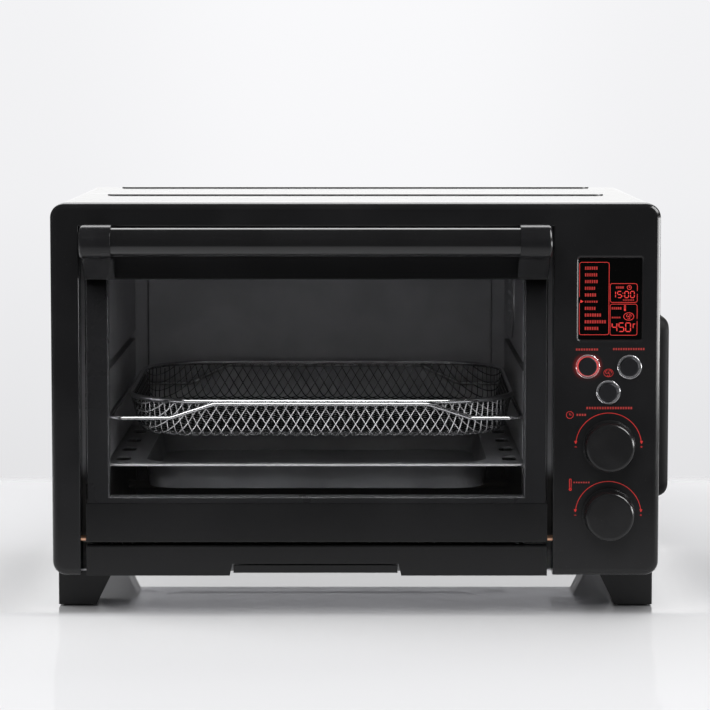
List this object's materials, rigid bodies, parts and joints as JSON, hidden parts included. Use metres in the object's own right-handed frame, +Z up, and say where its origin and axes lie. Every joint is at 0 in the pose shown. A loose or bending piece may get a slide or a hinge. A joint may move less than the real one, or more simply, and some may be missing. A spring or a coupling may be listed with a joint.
{
  "type": "toaster oven",
  "caption": "Countertop convection toaster oven with a drop-down glass door, bar handle, lit display, push buttons, turning knobs, mesh basket, pan and crumb drawer.",
  "frame": {"origin": "on the floor, in the middle of the whole oven's footprint with its handle and vent cover", "axes": "+X to the right seen from the front, +Y to the rear, +Z up; the door faces -Y"},
  "size_m": [0.4838, 0.3992, 0.3216],
  "materials": {
    "bezel_plastic": "satin black moulded plastic with a fine grain",
    "shell_paint": "satin black powder coat",
    "base_steel": "plain zinc-coated sheet",
    "cavity_steel": "satin aluminised sheet, slightly mottled",
    "door_glass": "clear tempered glass with ground edges",
    "door_metal": "satin black painted sheet",
    "handle_paint": "satin black painted tube",
    "cap_plastic": "satin black moulded plastic",
    "wire_chrome": "bright chrome-plated wire",
    "ring_chrome": "polished chrome",
    "button_metal": "dark spun metal",
    "knob_plastic": "satin black with a polished bevel",
    "pin_copper": "copper-coloured plated steel",
    "display_glass": "gloss black lens with a red segment display",
    "pan_enamel": "dark grey baked coating",
    "tray_steel": "plain steel sheet",
    "heater_sheath": "dull oxidised steel sheath",
    "ceramic": "unglazed white ceramic",
    "fan_metal": "plain pressed aluminium",
    "motor_steel": "stacked steel laminations",
    "board": "green circuit board",
    "part_plastic": "black component plastic",
    "screw_steel": "zinc-plated steel",
    "rubber": "soft black rubber",
    "foot_plastic": "satin black moulded plastic"
  },
  "bodies": {
    "case": {"front_bezel": "bezel_plastic", "outer_shell": "shell_paint", "side_vent_cover": "bezel_plastic", "base_pan": "base_steel", "rear_panel": "shell_paint", "rear_screws": "screw_steel", "cord_gland": "part_plastic", "front_frame": "cavity_steel", "cavity_liner": "cavity_steel", "cavity_rear_wall": "cavity_steel", "lower_heaters": "heater_sheath", "upper_heaters": "heater_sheath", "heater_insulators": "ceramic", "temperature_probe": "screw_steel", "thermal_cutout": "ceramic", "fan_grille": "cavity_steel", "fan_housing": "base_steel", "fan_motor": "motor_steel", "tray_runners": "base_steel", "door_bumpers": "rubber", "hinge_pins": "pin_copper", "display_lens": "display_glass", "display_module": "part_plastic", "button_rings": "ring_chrome", "button_switches": "part_plastic", "knob_encoders": "part_plastic", "control_board": "board", "board_screws": "screw_steel", "board_posts": "part_plastic", "power_board": "board", "foot_front_left": "foot_plastic", "foot_front_right": "foot_plastic", "foot_rear_left": "foot_plastic", "foot_rear_right": "foot_plastic", "foot_pads": "rubber", "foot_screws": "screw_steel"},
    "door": {"door_bottom_rail": "door_metal", "door_top_rail": "door_metal", "door_glass": "door_glass", "door_frame": "door_metal", "handle_bar": "handle_paint", "handle_cap_left": "cap_plastic", "handle_cap_right": "cap_plastic", "handle_screws": "screw_steel"},
    "rack": {"rack_frame": "wire_chrome", "basket_rim": "wire_chrome", "basket_mesh": "wire_chrome"},
    "pan": {"baking_pan": "pan_enamel"},
    "crumb_drawer": {"tray_front": "door_metal", "tray_pull": "door_metal", "crumb_tray": "tray_steel"},
    "time_knob": {"time_knob": "knob_plastic", "time_shaft": "screw_steel"},
    "temperature_knob": {"temperature_knob": "knob_plastic", "temperature_shaft": "screw_steel"},
    "fan": {"convection_fan": "fan_metal", "fan_shaft": "screw_steel"},
    "button_left": {"button_left": "button_metal"},
    "button_right": {"button_right": "button_metal"},
    "button_lower": {"button_lower": "button_metal"}
  },
  "joints": [
    {"name": "door_hinge", "type": "hinge", "parent": "case", "child": "door", "pos_m": [-0.03785, -0.1458, 0.0615], "axis": [1, 0, 0], "range_deg": [0, 90]},
    {"name": "rack_slide", "type": "slide", "parent": "case", "child": "rack", "axis": [0, -1, 0], "range_m": [0, 0.1105]},
    {"name": "pan_slide", "type": "slide", "parent": "case", "child": "pan", "axis": [0, -1, 0], "range_m": [0, 0.0476]},
    {"name": "crumb_drawer_slide", "type": "slide", "parent": "case", "child": "crumb_drawer", "axis": [0, -1, 0], "range_m": [0, 0.185]},
    {"name": "time_knob_turn", "type": "hinge", "parent": "case", "child": "time_knob", "pos_m": [0.18875, -0.1496, 0.134], "axis": [0, -1, 0], "continuous": true},
    {"name": "temperature_knob_turn", "type": "hinge", "parent": "case", "child": "temperature_knob", "pos_m": [0.18875, -0.1496, 0.0808], "axis": [0, -1, 0], "continuous": true},
    {"name": "fan_spin", "type": "hinge", "parent": "case", "child": "fan", "pos_m": [0.12715, 0.0404, 0.2471], "axis": [1, 0, 0], "continuous": true},
    {"name": "button_left_press", "type": "slide", "parent": "case", "child": "button_left", "axis": [0, 1, 0], "range_m": [0, 0.001], "stiffness_N_per_m": 600},
    {"name": "button_right_press", "type": "slide", "parent": "case", "child": "button_right", "axis": [0, 1, 0], "range_m": [0, 0.001], "stiffness_N_per_m": 600},
    {"name": "button_lower_press", "type": "slide", "parent": "case", "child": "button_lower", "axis": [0, 1, 0], "range_m": [0, 0.001], "stiffness_N_per_m": 600}
  ],
  "couplings": [
    {"joint": "rack_slide", "follows": "door_hinge", "m_per_rad": 0.07},
    {"joint": "pan_slide", "follows": "door_hinge", "m_per_rad": 0.03}
  ]
}
